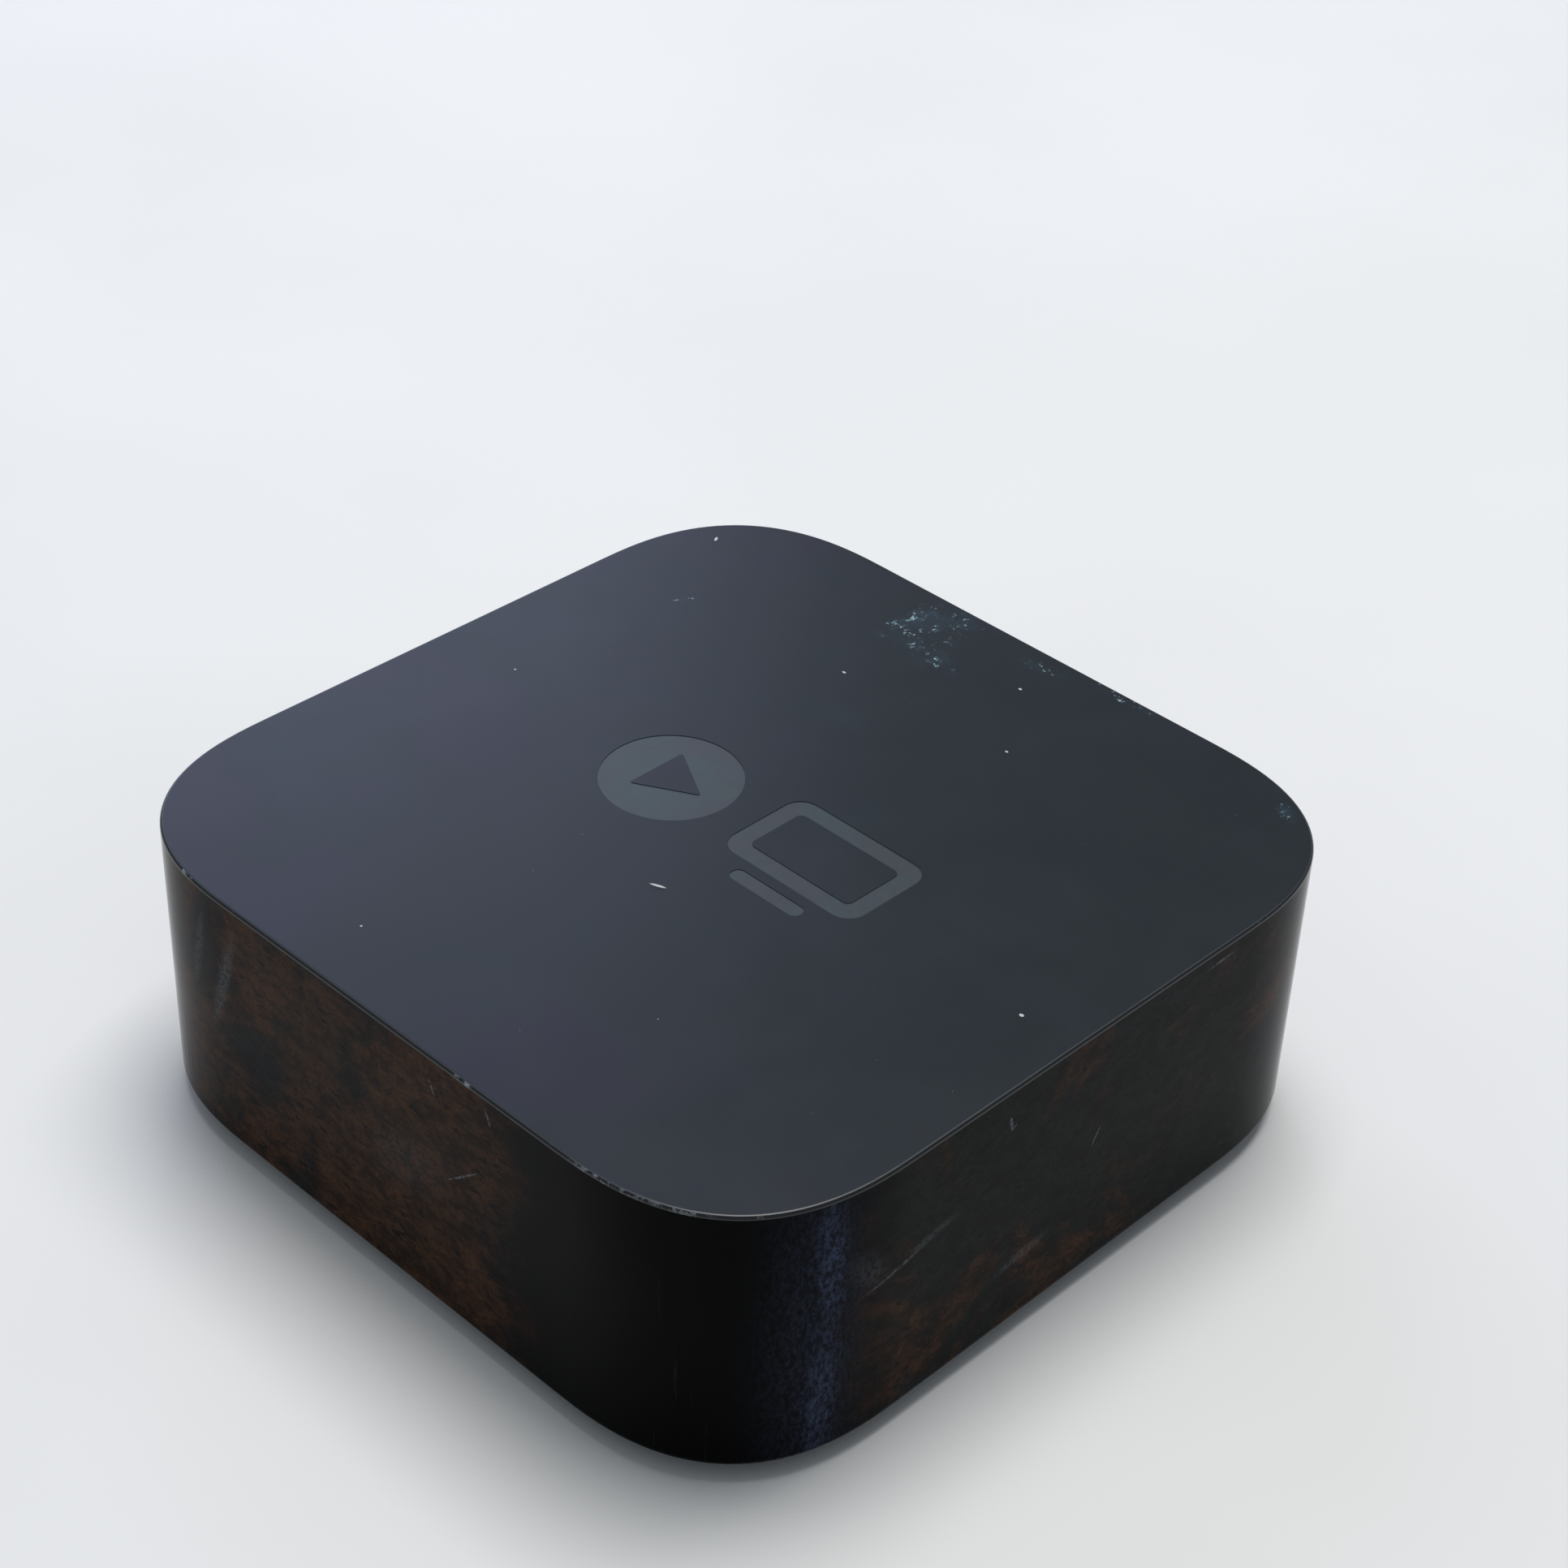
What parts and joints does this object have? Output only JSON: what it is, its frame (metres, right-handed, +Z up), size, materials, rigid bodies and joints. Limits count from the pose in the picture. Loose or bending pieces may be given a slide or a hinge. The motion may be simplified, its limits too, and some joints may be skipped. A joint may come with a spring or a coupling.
{
  "type": "streaming media player",
  "caption": "Palm-size square set-top box: gloss-black case on a round rubber foot, with mains, video and network sockets behind and a fan, heat sink and boards inside.",
  "frame": {"origin": "centre of the foot's underside, at the bottom centre of the bounding box", "axes": "+Z up out of the top, +Y out of the rear wall that holds the sockets, -Y out of the front wall, +X to the right seen from the front"},
  "size_m": [0.098, 0.098, 0.035],
  "materials": {
    "case_shell": "gloss black walls, satin dark slate top, polished mark",
    "base_plastic": "fine matt texture",
    "foot_rubber": "matt",
    "flex_film": "etched film",
    "cable_jacket": "smooth jacket",
    "fan_plastic": "moulded",
    "bearing_bronze": "sintered",
    "bright_steel": "plated",
    "screw_steel": "zinc plated",
    "shield_steel": "tinned sheet",
    "motor_iron": "stacked laminations",
    "copper_wire": "enamelled windings",
    "ferrite": "sintered",
    "sink_aluminium": "die cast",
    "thermal_silicone": "soft pad",
    "logic_laminate": "solder mask",
    "supply_laminate": "solder mask",
    "chip_resin": "moulded epoxy",
    "socket_plastic": "moulded",
    "contact_gold": "gold flash",
    "insulator_film": "formed sheet",
    "yellow_film": "wound tape",
    "capacitor_sleeve": "shrunk sleeve",
    "post_brass": "turned",
    "lamp_resin": "clear resin"
  },
  "bodies": {
    "case": {"housing": "case_shell", "base_cover": "base_plastic", "foot_pad": "foot_rubber", "antenna_left": "flex_film", "antenna_right": "flex_film", "fan_cable": "flex_film", "antenna_cable_left": "cable_jacket", "antenna_cable_right": "cable_jacket", "fan_frame": "fan_plastic", "fan_bearing": "bearing_bronze", "mains_pin_left": "bright_steel", "mains_pin_right": "bright_steel", "fan_screw_1": "screw_steel", "fan_screw_2": "screw_steel", "fan_screw_3": "screw_steel", "board_screw_1": "screw_steel", "board_screw_2": "screw_steel", "board_screw_3": "screw_steel", "board_screw_4": "screw_steel", "power_screw_1": "screw_steel", "power_screw_2": "screw_steel", "supply_screw_1": "screw_steel", "supply_screw_2": "screw_steel", "processor_shield": "shield_steel", "wireless_module": "shield_steel", "network_socket_shell": "shield_steel", "video_socket_shell": "shield_steel", "fan_stator": "motor_iron", "fan_windings": "copper_wire", "line_filter_choke": "copper_wire", "transformer_core": "ferrite", "heat_sink": "sink_aluminium", "supply_heat_spreader": "sink_aluminium", "thermal_pad": "thermal_silicone", "logic_board": "logic_laminate", "fan_circuit": "logic_laminate", "supply_board": "supply_laminate", "processor": "chip_resin", "storage_chip": "chip_resin", "network_transformer": "chip_resin", "infrared_receiver": "chip_resin", "fuse": "chip_resin", "network_socket_insert": "socket_plastic", "video_socket_tongue": "socket_plastic", "mains_inlet": "socket_plastic", "network_socket_contacts": "contact_gold", "video_socket_contacts": "contact_gold", "supply_insulator": "insulator_film", "fan_connector": "insulator_film", "transformer_winding": "yellow_film", "line_filter_capacitor": "yellow_film", "bulk_capacitor_1": "capacitor_sleeve", "bulk_capacitor_2": "capacitor_sleeve", "output_capacitor": "capacitor_sleeve", "power_post_1": "post_brass", "power_post_2": "post_brass", "status_led": "lamp_resin"},
    "rotor": {"fan_rotor": "fan_plastic", "fan_magnet": "ferrite", "fan_shaft": "bright_steel"}
  },
  "joints": [
    {"name": "fan_spin", "type": "hinge", "parent": "case", "child": "rotor", "pos_m": [0, 0, 0.008], "axis": [0, 0, 1], "continuous": true}
  ]
}
